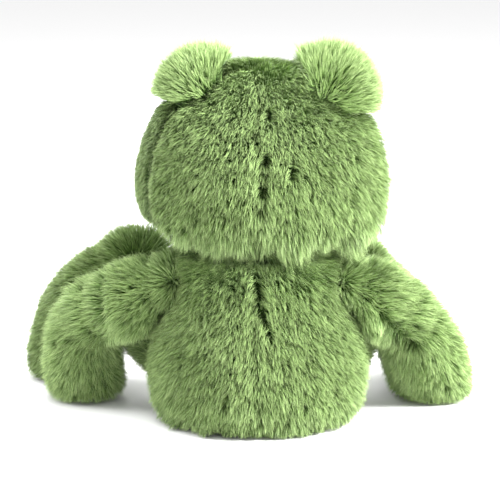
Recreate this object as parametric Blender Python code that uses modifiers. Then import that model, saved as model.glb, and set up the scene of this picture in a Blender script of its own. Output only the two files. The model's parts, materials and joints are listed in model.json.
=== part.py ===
"""Seated plush frog: its sewn skins, their stuffing, the pellet bag, the safety eyes and the embroidery.

The frog faces -Y, its own left side is +X, and it sits on the floor at Z = 0. Lengths are in metres.
Each skin is cloth with its pile pressed down, so its outside lies just under the tips of the fur.
"""

import math

import bmesh
import bpy
from mathutils import Matrix, Vector
from mathutils.bvhtree import BVHTree

# Cloth, gaps and cuts
PLUSH_THICKNESS = 0.005
CLEARANCE = 0.0003
PLUG_GAP = 0.0009
SEAM_GAP = 0.0003
FOLD_GAP = 0.001
FLOOR_FLAT = 0.0005
SOLE_DEPTH = 0.003
OVERRUN = 0.03

# Body, a pear with a flat seat: height, half width and half depth of each ring
BODY_HEIGHT = 0.109
BODY_HALF_WIDTH = 0.062
BODY_HALF_DEPTH = 0.053
BODY_RING_SHARES = (
    (0.00, 0.80, 0.80),
    (0.02, 0.88, 0.88),
    (0.11, 0.99, 0.98),
    (0.30, 1.03, 1.01),
    (0.53, 0.96, 0.93),
    (0.74, 0.89, 0.86),
    (0.92, 0.83, 0.80),
    (1.00, 0.66, 0.62),
)
BELLY_SEAM = -0.008
SEAT_PANEL_THICKNESS = 0.0045
PELLET_BAG_HEIGHT = 0.024
PELLET_BAG_HALF_WIDTH = 0.032
PELLET_BAG_HALF_DEPTH = 0.026

# Neck, a ball of stuffing that both the body and the head close round
NECK_RADIUS = 0.016
NECK_SETBACK = 0.004
NECK_GAP = 0.0045

# Head, wide and low, with a blunt snout: height, half width, half depth and forward shift of each ring
HEAD_HEIGHT = 0.103
HEAD_HALF_WIDTH = 0.073
HEAD_HALF_DEPTH = 0.055
HEAD_RING_SHARES = (
    (0.00, 0.72, 0.64, 0.02),
    (0.035, 0.92, 0.88, 0.02),
    (0.14, 1.03, 1.01, 0.08),
    (0.31, 1.05, 1.07, 0.12),
    (0.50, 1.00, 0.99, 0.08),
    (0.68, 0.91, 0.80, 0.02),
    (0.85, 0.72, 0.58, 0.02),
    (0.97, 0.44, 0.36, 0.02),
    (1.00, 0.22, 0.18, 0.02),
)
HEAD_LEAN = math.radians(-2.5)
FACE_SEAM = 0.006
FACE_SEAM_TURN = math.radians(9)

# Eye domes on the head, with a safety eye and its washer in each
DOME_RADIUS = 0.0265
DOME_LENGTH_SHARE = 1.2
DOME_SPREAD_SHARES = {"left": 0.480, "right": 0.525}
DOME_RISE_SHARES = {"left": 0.808, "right": 0.856}
DOME_FORWARD_SHARE = 0.07
DOME_WALL = 0.0045
EYE_RADIUS = 0.0085
EYE_BULGE = 0.0055
EYE_EDGE = 0.0008
EYE_SINK = 0.0032
EYE_STEM_RADIUS = 0.002
EYE_STEM_LENGTH = 0.0085
EYE_TURN = math.radians(14)
EYE_RISE = math.radians(26)
WASHER_RADIUS = 0.0055
WASHER_THICKNESS = 0.0015
WASHER_DEPTH = 0.0084

# Embroidery on the face, lying on the short plush
MOUTH_HALF_WIDTH = 0.044
MOUTH_RISE = 0.031
MOUTH_CURL = 0.010
MOUTH_STITCH_RADIUS = 0.0009
NOSTRIL_SPREAD = 0.0085
NOSTRIL_RISE = 0.048
NOSTRIL_LENGTH = 0.0030
NOSTRIL_WIDTH = 0.0013

# Where each joint of the limbs lies, and where each hand and foot stands
SHOULDER = {"left": (0.0485, 0.004, 0.083), "right": (-0.0485, 0.004, 0.083)}
ELBOW = {"left": (0.098, -0.018, 0.061), "right": (-0.085, -0.008, 0.064)}
HAND = {"left": (0.106, -0.046, 0.0), "right": (-0.109, -0.047, 0.0)}
HIP = {"left": (0.049, -0.029, 0.030), "right": (-0.049, -0.029, 0.030)}
KNEE = {"left": (0.080, -0.066, 0.084), "right": (-0.063, -0.066, 0.079)}
FOOT = {"left": (0.122, -0.094, 0.0), "right": (-0.112, -0.094, 0.0)}

# How far the middle of each section is drawn out of the straight line between its joints
FOREARM_BOW = {"left": (0.007, 0.0, 0.007), "right": (-0.007, 0.0, 0.004)}
THIGH_BOW = {"left": (0.002, 0.0, -0.008), "right": (0.0, 0.0, -0.003)}
SHIN_BOW = {"left": (0.019, -0.002, 0.010), "right": (-0.008, 0.0, 0.004)}
TOE_REACH = 0.013

# Sizes across the limbs
SHOULDER_RADIUS = 0.0160
UPPER_ARM_RADIUS = 0.0205
ELBOW_RADIUS = 0.0160
FOREARM_HALF_WIDTH = {"left": 0.0210, "right": 0.0240}
FOREARM_HALF_DEPTH = {"left": 0.0185, "right": 0.0175}
HIP_RADIUS = 0.0175
THIGH_RADIUS = 0.0205
KNEE_RADIUS = 0.0175
SHIN_HALF_WIDTH = 0.0215
SHIN_HALF_DEPTH = 0.0190

# Rings from a joint to the next, with the distance along and the half width and half depth
ROOT_SHARES = ((-0.55, 0.45), (0.00, 0.84))
UPPER_ARM_RING_SHARES = (
    (0.32, 0.95, 0.95),
    (0.55, 1.02, 1.02),
    (0.76, 0.97, 0.97),
    (0.89, 0.78, 0.78),
    (0.96, 0.50, 0.50),
)
FOREARM_RING_SHARES = (
    (0.30, 0.90, 0.93),
    (0.55, 1.02, 1.02),
    (0.80, 1.02, 1.02),
    (0.95, 0.92, 0.92),
    (0.985, 0.80, 0.80),
)
THIGH_RING_SHARES = (
    (0.28, 1.00, 1.00),
    (0.52, 1.06, 1.06),
    (0.74, 0.98, 0.98),
    (0.88, 0.80, 0.80),
    (0.95, 0.52, 0.52),
)
SHIN_RING_SHARES = (
    (0.28, 0.88, 0.92),
    (0.52, 0.97, 0.98),
    (0.76, 1.00, 1.10),
    (0.93, 0.96, 1.25),
    (0.985, 0.82, 1.12),
)
LINING_ROOT_SHARES = ((-0.30, 0.70), (0.12, 0.95))
ROOT_MOUTH_SHARE = 0.42
PLUG_BALL_SHARE = 0.88

# How far the limbs turn at the body from the seated pose
SHOULDER_RAISE = math.radians(45)
HIP_CLOSE = math.radians(20)

SIDES = {"left": 1.0, "right": -1.0}
BODY_SIDES = 12
LIMB_SIDES = 8
LINING_SIDES = 8
BALL_SEGMENTS = 16
BALL_RINGS = 8
EYE_STEPS = 16
EYE_ARC_STEPS = 3
MOUTH_POINTS = 13

PLUSH_GREEN = (0.16, 0.33, 0.07, 1.0)
FACE_GREEN = (0.12, 0.26, 0.055, 1.0)
STUFFING_WHITE = (0.86, 0.86, 0.83, 1.0)
PELLET_CLOTH = (0.72, 0.70, 0.64, 1.0)
EYE_BLACK = (0.010, 0.009, 0.008, 1.0)
WASHER_WHITE = (0.75, 0.75, 0.72, 1.0)
THREAD_DARK = (0.020, 0.045, 0.018, 1.0)

UP = Vector((0.0, 0.0, 1.0))
SIDEWAYS = Vector((1.0, 0.0, 0.0))
BACK = Vector((0.0, 1.0, 0.0))


def clear_scene():
    for obj in list(bpy.data.objects):
        bpy.data.objects.remove(obj, do_unlink=True)


def new_collection(name):
    collection = bpy.data.collections.new(name)
    bpy.context.scene.collection.children.link(collection)
    return collection


def make_material(name, colour, roughness):
    material = bpy.data.materials.new(name)
    material.use_nodes = True
    shader = material.node_tree.nodes["Principled BSDF"]
    shader.inputs["Base Color"].default_value = colour
    shader.inputs["Roughness"].default_value = roughness
    material.diffuse_color = colour
    return material


clear_scene()
FROG = new_collection("plush_frog")
CUTTERS = new_collection("cutters")
PLUSH = make_material("plush", PLUSH_GREEN, 0.95)
SHORT_PLUSH = make_material("short_plush", FACE_GREEN, 0.95)
STUFFING = make_material("fibrefill", STUFFING_WHITE, 1.0)
PELLET_BAG = make_material("pellet_bag_cloth", PELLET_CLOTH, 0.9)
EYE_PLASTIC = make_material("eye_plastic", EYE_BLACK, 0.08)
WASHER_PLASTIC = make_material("washer_plastic", WASHER_WHITE, 0.5)
THREAD = make_material("thread", THREAD_DARK, 0.7)


def add_object(name, mesh, material, parent=None):
    """A piece of the frog. Its mesh is in the frame of its parent."""
    obj = bpy.data.objects.new(name, mesh)
    FROG.objects.link(obj)
    if not mesh.materials:
        mesh.materials.append(material)
    obj.parent = parent
    mesh.shade_smooth()
    return obj


def add_cutter(name, mesh, parent=None):
    obj = bpy.data.objects.new(name, mesh)
    CUTTERS.objects.link(obj)
    obj.parent = parent
    obj.hide_render = True
    obj.display_type = "WIRE"
    return obj


def add_joint(name, place, parent=None, lean=0.0):
    """An empty on a joint's axis. What moves there is its child. The place is in the world."""
    empty = bpy.data.objects.new(name, None)
    FROG.objects.link(empty)
    empty.empty_display_size = NECK_RADIUS
    empty.rotation_euler = (0.0, lean, 0.0)
    empty.parent = parent
    empty.location = place - (parent.matrix_world.translation if parent else Vector())
    bpy.context.view_layer.update()
    return empty


def boolean(obj, operation, cutter):
    modifier = obj.modifiers.new(f"{operation.lower()}_{cutter.name}", "BOOLEAN")
    modifier.operation = operation
    modifier.object = cutter


def cut(obj, *cutters):
    for cutter in cutters:
        boolean(obj, "DIFFERENCE", cutter)


def keep_inside(obj, cutter):
    boolean(obj, "INTERSECT", cutter)


def swell(obj):
    """Rounds a cage of rings."""
    modifier = obj.modifiers.new("swell", "SUBSURF")
    modifier.levels = 1
    modifier.render_levels = 1
    return obj


def mesh_from(name, bm):
    bmesh.ops.recalc_face_normals(bm, faces=bm.faces)
    mesh = bpy.data.meshes.new(name)
    bm.to_mesh(mesh)
    bm.free()
    return mesh


# Basic meshes


def ball_mesh(name, radius, axis=UP, length_share=1.0):
    """A ball with its poles on an axis, so that a turn about it keeps the rings in place.

    It is drawn out along the axis by the length share.
    """
    bm = bmesh.new()
    place = UP.rotation_difference(axis).to_matrix().to_4x4() @ Matrix.Diagonal((1.0, 1.0, length_share, 1.0))
    bmesh.ops.create_uvsphere(
        bm, u_segments=BALL_SEGMENTS, v_segments=BALL_RINGS, radius=radius, matrix=place
    )
    return mesh_from(name, bm)


def box_mesh(name, low, high):
    bm = bmesh.new()
    low, high = Vector(low), Vector(high)
    place = Matrix.Translation((low + high) / 2) @ Matrix.Diagonal((*(high - low), 1.0))
    bmesh.ops.create_cube(bm, size=1.0, matrix=place)
    return mesh_from(name, bm)


def rod_mesh(name, radius, top, bottom):
    """An upright cylinder on Z."""
    bm = bmesh.new()
    place = Matrix.Translation(UP * (top + bottom) / 2)
    bmesh.ops.create_cone(
        bm,
        cap_ends=True,
        segments=EYE_STEPS,
        radius1=radius,
        radius2=radius,
        depth=top - bottom,
        matrix=place,
    )
    return mesh_from(name, bm)


def turned_object(name, profile, material, parent):
    """A profile of (radius, height), from the top down its outer side, turned round Z."""
    bm = bmesh.new()
    points = [bm.verts.new((radius, 0.0, height)) for radius, height in profile]
    for first, second in zip(points, points[1:]):
        bm.edges.new((first, second))
    mesh = bpy.data.meshes.new(name)
    bm.to_mesh(mesh)
    bm.free()
    obj = add_object(name, mesh, material, parent)
    modifier = obj.modifiers.new("turn", "SCREW")
    modifier.steps = EYE_STEPS
    modifier.render_steps = EYE_STEPS
    modifier.use_merge_vertices = True
    modifier.merge_threshold = SEAM_GAP / 10
    return obj


# Forms


def ring_frame(along):
    """The level and the other direction across a form that runs along a line."""
    level = along.cross(UP)
    across = level.normalized() if level.length > 0.05 else SIDEWAYS
    return across, along.cross(across)


def form_mesh(name, sections, sides, swelled=True):
    """A closed cage of rings, each a centre, two directions and two half sizes. Swelling brings the
    sides of the cage onto those sizes."""
    cage = 1.0 / math.cos(math.pi / sides) if swelled else 1.0
    bm = bmesh.new()
    loops = []
    for number, (centre, across, through, half_width, half_depth) in enumerate(sections):
        place = Matrix.Identity(4)
        place.col[0][:3] = across * half_width * cage
        place.col[1][:3] = through * half_depth * cage
        place.col[2][:3] = across.cross(through)
        place.col[3][:3] = centre
        end = number in (0, len(sections) - 1)
        ring = bmesh.ops.create_circle(bm, segments=sides, radius=1.0, cap_ends=end, matrix=place)
        loops.append({edge for vert in ring["verts"] for edge in vert.link_edges})
    for lower, upper in zip(loops, loops[1:]):
        bmesh.ops.bridge_loops(bm, edges=list(lower | upper))
    return mesh_from(name, bm)


def stacked_sections(shares, bottom, height, half_width, half_depth, setback, grow):
    """Level rings from the bottom up, for the body and the head."""
    sections = []
    for rise, wide, deep, *forward in shares:
        shift = forward[0] if forward else 0.0
        centre = BACK * (setback - shift * half_depth) + UP * (bottom - grow + rise * (height + 2 * grow))
        sections.append((centre, SIDEWAYS, BACK, wide * half_width + grow, deep * half_depth + grow))
    return sections


def body_mesh(name, grow=0.0, swelled=True):
    sections = stacked_sections(
        BODY_RING_SHARES, -FLOOR_FLAT, BODY_HEIGHT + FLOOR_FLAT, BODY_HALF_WIDTH, BODY_HALF_DEPTH, 0.0, grow
    )
    return form_mesh(name, sections, BODY_SIDES, swelled)


def head_mesh(name, grow=0.0, swelled=True):
    """In the frame of the neck."""
    sections = stacked_sections(
        HEAD_RING_SHARES, NECK_GAP / 2, HEAD_HEIGHT, HEAD_HALF_WIDTH, HEAD_HALF_DEPTH, -NECK_SETBACK, grow
    )
    return form_mesh(name, sections, BODY_SIDES, swelled)


class Limb:
    """A section of a limb, from the ball at its root to its end. Places are in the root's frame."""

    def __init__(self, run, root_radius, half_width, half_depth, shares, bow=None, toe=None, on_floor=False):
        self.run = run
        self.root_radius = root_radius
        self.half_width = half_width
        self.half_depth = half_depth
        self.shares = shares
        self.bow = bow or Vector()
        self.toe = toe or Vector()
        self.on_floor = on_floor

    def place(self, far):
        """A point of the limb's middle line. The bow is widest half way, and the toe reaches out below."""
        return self.run * far + self.bow * 4 * far * (1 - far) + self.toe * far * far

    def along(self, far):
        """The middle line's direction, which turns straight down where it comes to the floor."""
        line = (self.run + self.bow * 4 * (1 - 2 * far) + self.toe * 2 * far).normalized()
        return line.lerp(-UP, far * far).normalized() if self.on_floor else line

    def ring(self, far, centre, half_width, half_depth):
        along = self.along(far)
        level, _ = ring_frame(self.run.normalized())
        through = along.cross(level).normalized()
        return centre, through.cross(along), through, half_width, half_depth

    def rings(self, grow):
        """The rings past the root."""
        inward = (self.run.length + grow) / self.run.length
        return [
            self.ring(
                far,
                self.place(far * inward),
                wide * self.half_width + grow,
                deep * self.half_depth + grow,
            )
            for far, wide, deep in self.shares
        ]

    def root_ring(self, back, radius):
        return self.ring(0.0, self.along(0.0) * back, radius, radius)

    def skin_mesh(self, name, grow=0.0):
        root = [
            self.root_ring(back * self.root_radius, wide * self.root_radius + grow)
            for back, wide in ROOT_SHARES
        ]
        return form_mesh(name, root + self.rings(grow), LIMB_SIDES)

    def inside_mesh(self, name, grow):
        """The hollow of the skin, or the plug of stuffing in it."""
        root = [
            self.root_ring(back * self.root_radius, wide * self.root_radius + grow)
            for back, wide in LINING_ROOT_SHARES
        ]
        return form_mesh(name, root + self.rings(grow), LINING_SIDES, swelled=False)


# Joints

NECK_PLACE = BACK * NECK_SETBACK + UP * (BODY_HEIGHT + NECK_GAP / 2)
REACH = BODY_HEIGHT + HEAD_HEIGHT + OVERRUN
HALF_SEAM = SEAM_GAP / 2
FLAT_SHARE = math.cos(math.pi / BALL_SEGMENTS)
RING_FLAT_SHARE = math.cos(math.pi / (2 * BALL_RINGS))

NECK = add_joint("neck_joint", NECK_PLACE)
HEAD = add_joint("head_joint", NECK_PLACE, lean=HEAD_LEAN)
SHOULDER_JOINT = {side: add_joint(f"{side}_shoulder_joint", Vector(SHOULDER[side])) for side in SIDES}
HIP_JOINT = {side: add_joint(f"{side}_hip_joint", Vector(HIP[side])) for side in SIDES}
ELBOW_JOINT = {
    side: add_joint(f"{side}_elbow_joint", Vector(ELBOW[side]), SHOULDER_JOINT[side]) for side in SIDES
}
KNEE_JOINT = {
    side: add_joint(f"{side}_knee_joint", Vector(KNEE[side]), HIP_JOINT[side]) for side in SIDES
}

FLOOR = add_cutter("floor_cut", box_mesh("floor_cut", (-REACH, -REACH, -REACH), (REACH, REACH, 0.0)))


def socket(name, radius, joint, axis):
    """The dimple in which a ball of this radius turns about an axis. Its flats clear the ball's corners."""
    return add_cutter(name, ball_mesh(name, (radius + CLEARANCE) / FLAT_SHARE, axis), joint)


def shoulder_axis(side):
    """Turning about it raises the arm sideways."""
    return -SIDES[side] * BACK


def hip_axis(side):
    """Turning about it closes the legs."""
    return -SIDES[side] * UP


BODY_SOCKETS = [socket("neck_socket", NECK_RADIUS, NECK, UP)]
for side in SIDES:
    BODY_SOCKETS.append(
        socket(f"{side}_shoulder_socket", SHOULDER_RADIUS, SHOULDER_JOINT[side], shoulder_axis(side))
    )
    BODY_SOCKETS.append(socket(f"{side}_hip_socket", HIP_RADIUS, HIP_JOINT[side], hip_axis(side)))


# Body


def add_body():
    """Two back panels and a belly panel in one closed seam, the seat panel, the stuffing and the pellets."""
    seat_top = SEAT_PANEL_THICKNESS
    hollow = add_cutter("body_hollow", body_mesh("body_hollow", -PLUSH_THICKNESS, swelled=False))
    below_skin = add_cutter(
        "below_skin", box_mesh("below_skin", (-REACH, -REACH, -REACH), (REACH, REACH, seat_top + SEAM_GAP))
    )
    panels = {
        "body_back_left_panel": ((HALF_SEAM, BELLY_SEAM + HALF_SEAM), (REACH, REACH)),
        "body_back_right_panel": ((-REACH, BELLY_SEAM + HALF_SEAM), (-HALF_SEAM, REACH)),
        "belly_panel": ((-REACH, -REACH), (REACH, BELLY_SEAM - HALF_SEAM)),
    }
    for name, (low, high) in panels.items():
        panel = swell(add_object(name, body_mesh(name), PLUSH))
        side = add_cutter(f"{name}_side", box_mesh(f"{name}_side", (*low, -REACH), (*high, REACH)))
        keep_inside(panel, side)
        cut(panel, hollow, below_skin, *BODY_SOCKETS)

    seat = swell(add_object("seat_panel", body_mesh("seat_panel"), PLUSH))
    slab = add_cutter("seat_slab", box_mesh("seat_slab", (-REACH, -REACH, 0.0), (REACH, REACH, seat_top)))
    keep_inside(seat, slab)

    plug_inset = -(PLUSH_THICKNESS + CLEARANCE)
    stuffing = add_object("body_stuffing", body_mesh("body_stuffing", plug_inset, swelled=False), STUFFING)
    bag_room = add_cutter(
        "pellet_room", pellet_mesh("pellet_room", CLEARANCE, seat_top - PLUSH_THICKNESS)
    )
    cut(stuffing, below_skin, bag_room, *BODY_SOCKETS)
    bag = add_object("seat_pellet_bag", pellet_mesh("seat_pellet_bag", 0.0, 0.0), PELLET_BAG)
    cut(bag, below_skin)


def pellet_mesh(name, grow, bottom):
    """A low cushion on the seat panel."""
    bm = bmesh.new()
    half_height = PELLET_BAG_HEIGHT / 2 + grow
    sizes = (PELLET_BAG_HALF_WIDTH + grow, PELLET_BAG_HALF_DEPTH + grow, half_height, 1.0)
    place = Matrix.Translation(UP * (SEAT_PANEL_THICKNESS + PELLET_BAG_HEIGHT / 3)) @ Matrix.Diagonal(sizes)
    bmesh.ops.create_uvsphere(bm, u_segments=BALL_SEGMENTS, v_segments=BALL_RINGS, radius=1.0, matrix=place)
    return mesh_from(name, bm)


# Head


def add_head():
    """Two back panels and the face panel, the stuffing, and the neck that they turn on."""
    hollow = add_cutter("head_hollow", head_mesh("head_hollow", -PLUSH_THICKNESS, swelled=False), HEAD)
    neck_socket = socket("head_neck_socket", NECK_RADIUS / RING_FLAT_SHARE, HEAD, SIDEWAYS)
    seam_turn = Matrix.Rotation(FACE_SEAM_TURN, 4, "Z")
    panels = {
        "head_back_left_panel": ((HALF_SEAM, FACE_SEAM + HALF_SEAM), (REACH, REACH), PLUSH),
        "head_back_right_panel": ((-REACH, FACE_SEAM + HALF_SEAM), (-HALF_SEAM, REACH), PLUSH),
        "face_panel": ((-REACH, -REACH), (REACH, FACE_SEAM - HALF_SEAM), SHORT_PLUSH),
    }
    for name, (low, high, material) in panels.items():
        panel = swell(add_object(name, head_mesh(name), material, HEAD))
        side = add_cutter(f"{name}_side", box_mesh(f"{name}_side", (*low, -REACH), (*high, REACH)), HEAD)
        side.matrix_local = seam_turn
        keep_inside(panel, side)
        cut(panel, hollow, neck_socket)

    plug_inset = -(PLUSH_THICKNESS + PLUG_GAP)
    stuffing = add_object(
        "head_stuffing", head_mesh("head_stuffing", plug_inset, swelled=False), STUFFING, HEAD
    )
    cut(stuffing, neck_socket)
    add_object("neck_stuffing", ball_mesh("neck_stuffing", NECK_RADIUS), STUFFING, NECK)


def add_eyes():
    """On each side a dome with its stuffing, the safety eye in its front and the washer behind it."""
    head_form = add_cutter("head_form", head_mesh("head_form", CLEARANCE), HEAD)
    swell(head_form)
    for side, sign in SIDES.items():
        joint = bpy.data.objects.new(f"{side}_dome_place", None)
        FROG.objects.link(joint)
        joint.parent = HEAD
        joint.location = (
            sign * DOME_SPREAD_SHARES[side] * HEAD_HALF_WIDTH,
            -NECK_SETBACK - DOME_FORWARD_SHARE * HEAD_HALF_DEPTH,
            DOME_RISE_SHARES[side] * HEAD_HEIGHT,
        )
        aim = bpy.data.objects.new(f"{side}_eye_place", None)
        FROG.objects.link(aim)
        aim.parent = joint
        turn = Matrix.Rotation(sign * EYE_TURN, 4, "Z") @ Matrix.Rotation(math.pi / 2 - EYE_RISE, 4, "X")
        aim.matrix_local = Matrix.Translation(-BACK * (DOME_LENGTH_SHARE - 1.0) * DOME_RADIUS) @ turn
        bpy.context.view_layer.update()

        seat_rise = DOME_RADIUS - EYE_SINK
        hollow_radius = DOME_RADIUS - DOME_WALL
        long = (BACK, DOME_LENGTH_SHARE)
        name = f"{side}_eye_dome"
        hollow = add_cutter(f"{name}_hollow", ball_mesh(f"{name}_hollow", hollow_radius, *long), joint)
        seat = rod_mesh(f"{name}_seat", EYE_RADIUS + CLEARANCE, DOME_RADIUS + OVERRUN, seat_rise - SEAM_GAP)
        stem_room = rod_mesh(f"{name}_stem_room", EYE_STEM_RADIUS + SEAM_GAP, seat_rise, -SEAM_GAP)
        washer_top = DOME_RADIUS - WASHER_DEPTH
        washer_room = rod_mesh(
            f"{name}_washer_room",
            WASHER_RADIUS + CLEARANCE,
            DOME_RADIUS,
            washer_top - WASHER_THICKNESS - SEAM_GAP,
        )
        seat_cut = add_cutter(f"{name}_seat", seat, aim)
        stem_cut = add_cutter(f"{name}_stem_room", stem_room, aim)
        washer_cut = add_cutter(f"{name}_washer_room", washer_room, aim)

        dome = add_object(name, ball_mesh(name, DOME_RADIUS, *long), PLUSH, joint)
        cut(dome, hollow, head_form, seat_cut, stem_cut)
        plug_name = f"{side}_eye_dome_stuffing"
        plug_mesh = ball_mesh(plug_name, hollow_radius - CLEARANCE, *long)
        plug = add_object(plug_name, plug_mesh, STUFFING, joint)
        cut(plug, head_form, washer_cut, stem_cut)

        stem_end = seat_rise - EYE_STEM_LENGTH
        eye_profile = [
            (EYE_RADIUS * math.sin(angle), seat_rise + EYE_EDGE + EYE_BULGE * math.cos(angle))
            for angle in [math.pi / 2 * step / EYE_ARC_STEPS for step in range(EYE_ARC_STEPS + 1)]
        ]
        eye_profile += [
            (EYE_RADIUS, seat_rise),
            (EYE_STEM_RADIUS, seat_rise),
            (EYE_STEM_RADIUS, stem_end),
            (0.0, stem_end),
        ]
        turned_object(f"{side}_eye", eye_profile, EYE_PLASTIC, aim)
        washer_name = f"{side}_eye_washer"
        washer = add_object(
            washer_name,
            rod_mesh(washer_name, WASHER_RADIUS, washer_top, washer_top - WASHER_THICKNESS),
            WASHER_PLASTIC,
            aim,
        )
        cut(washer, stem_cut)


def add_embroidery():
    """The mouth line and the nostrils, each a thread that lies on the face."""
    form = bpy.data.objects["head_form"]
    bpy.context.view_layer.update()
    graph = bpy.context.evaluated_depsgraph_get()
    face = BVHTree.FromObject(form, graph)

    def on_face(across, rise, lift):
        start = SIDEWAYS * across - BACK * REACH + UP * rise
        place, normal, _, _ = face.ray_cast(start, BACK)
        return place + normal * lift

    lift = MOUTH_STITCH_RADIUS + SEAM_GAP
    points = []
    for number in range(MOUTH_POINTS):
        share = 2.0 * number / (MOUTH_POINTS - 1) - 1.0
        rise = MOUTH_RISE + MOUTH_CURL * share * share
        points.append(on_face(share * MOUTH_HALF_WIDTH, rise, lift))
    add_thread("mouth_stitching", points, MOUTH_STITCH_RADIUS)
    for side, sign in SIDES.items():
        middle = sign * NOSTRIL_SPREAD
        ends = []
        for step in (-1.0, 0.0, 1.0):
            across = middle + sign * step * NOSTRIL_LENGTH / 2
            ends.append(on_face(across, NOSTRIL_RISE + step * NOSTRIL_LENGTH / 4, NOSTRIL_WIDTH))
        add_thread(f"{side}_nostril_stitch", ends, NOSTRIL_WIDTH - SEAM_GAP)


def add_thread(name, points, radius):
    """A round thread through points, made a mesh."""
    curve = bpy.data.curves.new(f"{name}_line", "CURVE")
    curve.dimensions = "3D"
    curve.bevel_depth = radius
    curve.bevel_resolution = 1
    curve.use_fill_caps = True
    spline = curve.splines.new("POLY")
    spline.points.add(len(points) - 1)
    for point, place in zip(spline.points, points):
        point.co = (*place, 1.0)
    line = bpy.data.objects.new(f"{name}_line", curve)
    CUTTERS.objects.link(line)
    graph = bpy.context.evaluated_depsgraph_get()
    mesh = bpy.data.meshes.new_from_object(line.evaluated_get(graph))
    bpy.data.objects.remove(line, do_unlink=True)
    bm = bmesh.new()
    bm.from_mesh(mesh)
    bmesh.ops.remove_doubles(bm, verts=bm.verts, dist=SEAM_GAP / 10)
    add_object(name, mesh_from(name, bm), THREAD, HEAD)


# Limbs


def body_reliefs(side, joint_name, joint, axis, angle, steps):
    """The body as the limb meets it at points of its turn, so that no part of the limb runs into it."""
    reliefs = []
    for step in range(steps + 1):
        name = f"{side}_{joint_name}_relief_{step}"
        relief = add_cutter(name, body_mesh(name, FOLD_GAP))
        place = joint.matrix_world.translation
        turn = Matrix.Rotation(-angle * step / steps, 4, axis)
        relief.matrix_world = Matrix.Translation(place) @ turn @ Matrix.Translation(-place)
        reliefs.append(relief)
    return reliefs


def fold(name, limb, joint):
    """The room that the next section of a limb takes at rest in the fold of this one."""
    return add_cutter(name, limb.skin_mesh(name, FOLD_GAP), joint)


def add_limb_section(name, limb, joint, axis, parent_along, reliefs=(), end_cuts=()):
    """A plush sleeve, open where it meets the last section, and the plug of stuffing in it."""
    skin_mesh = limb.skin_mesh(name)
    if limb.on_floor:
        stand_on_floor(skin_mesh, joint)
    skin = swell(add_object(name, skin_mesh, PLUSH, joint))
    plug_name = f"{name}_stuffing"
    plug_mesh = limb.inside_mesh(plug_name, -(PLUSH_THICKNESS + PLUG_GAP))
    plug = add_object(plug_name, plug_mesh, STUFFING, joint)
    plug_radius = PLUG_BALL_SHARE * (limb.root_radius - PLUSH_THICKNESS)
    for piece, radius in ((skin, limb.root_radius), (plug, plug_radius)):
        cut(piece, *reliefs)
        ball_name = f"{piece.name}_ball"
        boolean(piece, "UNION", add_cutter(ball_name, ball_mesh(ball_name, radius, axis), joint))

    hollow_mesh = limb.inside_mesh(f"{name}_hollow", -PLUSH_THICKNESS)
    cut(skin, add_cutter(f"{name}_hollow", hollow_mesh, joint))
    hollow_ball = ball_mesh(f"{name}_root_hollow", limb.root_radius - PLUSH_THICKNESS, axis)
    cut(skin, add_cutter(f"{name}_root_hollow", hollow_ball, joint))
    mouth_radius = ROOT_MOUTH_SHARE * limb.root_radius
    mouth_mesh = rod_mesh(f"{name}_mouth", mouth_radius, limb.root_radius + OVERRUN, 0.0)
    mouth = add_cutter(f"{name}_mouth", mouth_mesh, joint)
    mouth.rotation_euler = UP.rotation_difference(-parent_along).to_euler()
    cut(skin, mouth, *end_cuts)
    cut(plug, *end_cuts)
    if limb.on_floor:
        cut(skin, FLOOR)


def stand_on_floor(mesh, joint):
    """Draws the sleeve up or down so that the floor cuts its sole flat."""
    height = joint.matrix_world.translation.z
    lowest = -min(vert.co.z for vert in mesh.vertices)
    scale = (height + SOLE_DEPTH) / lowest
    for vert in mesh.vertices:
        if vert.co.z < 0.0:
            vert.co.z *= scale


def limbs_of(side):
    """The four limb sections of a side."""
    shoulder, elbow, hand = Vector(SHOULDER[side]), Vector(ELBOW[side]), Vector(HAND[side])
    hip, knee, foot = Vector(HIP[side]), Vector(KNEE[side]), Vector(FOOT[side])
    heading = (foot - knee) * Vector((1.0, 1.0, 0.0))
    toe = (heading.normalized() - BACK).normalized() * TOE_REACH
    return {
        "upper_arm": Limb(
            elbow - shoulder, SHOULDER_RADIUS, UPPER_ARM_RADIUS, UPPER_ARM_RADIUS, UPPER_ARM_RING_SHARES
        ),
        "forearm": Limb(
            hand - elbow,
            ELBOW_RADIUS,
            FOREARM_HALF_WIDTH[side],
            FOREARM_HALF_DEPTH[side],
            FOREARM_RING_SHARES,
            bow=Vector(FOREARM_BOW[side]),
            on_floor=True,
        ),
        "thigh": Limb(
            knee - hip,
            HIP_RADIUS,
            THIGH_RADIUS,
            THIGH_RADIUS,
            THIGH_RING_SHARES,
            bow=Vector(THIGH_BOW[side]),
        ),
        "shin": Limb(
            foot - toe - knee,
            KNEE_RADIUS,
            SHIN_HALF_WIDTH,
            SHIN_HALF_DEPTH,
            SHIN_RING_SHARES,
            bow=Vector(SHIN_BOW[side]),
            toe=toe,
            on_floor=True,
        ),
    }


def bend_axis(upper, lower):
    """Turning about it straightens a limb at its elbow or knee."""
    return lower.along(0.0).cross(upper.run).normalized()


def add_limb(side, upper_name, lower_name, root_joint, bend_joint, root_axis, reliefs):
    limbs = limbs_of(side)
    upper, lower = limbs[upper_name], limbs[lower_name]
    axis = bend_axis(upper, lower)
    end_cuts = (
        socket(f"{side}_{lower_name}_socket", lower.root_radius, bend_joint, axis),
        fold(f"{side}_{lower_name}_fold", lower, bend_joint),
    )
    upper_along = upper.run.normalized()
    add_limb_section(f"{side}_{upper_name}", upper, root_joint, root_axis, upper_along, reliefs, end_cuts)
    add_limb_section(f"{side}_{lower_name}", lower, bend_joint, axis, upper_along)


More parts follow.
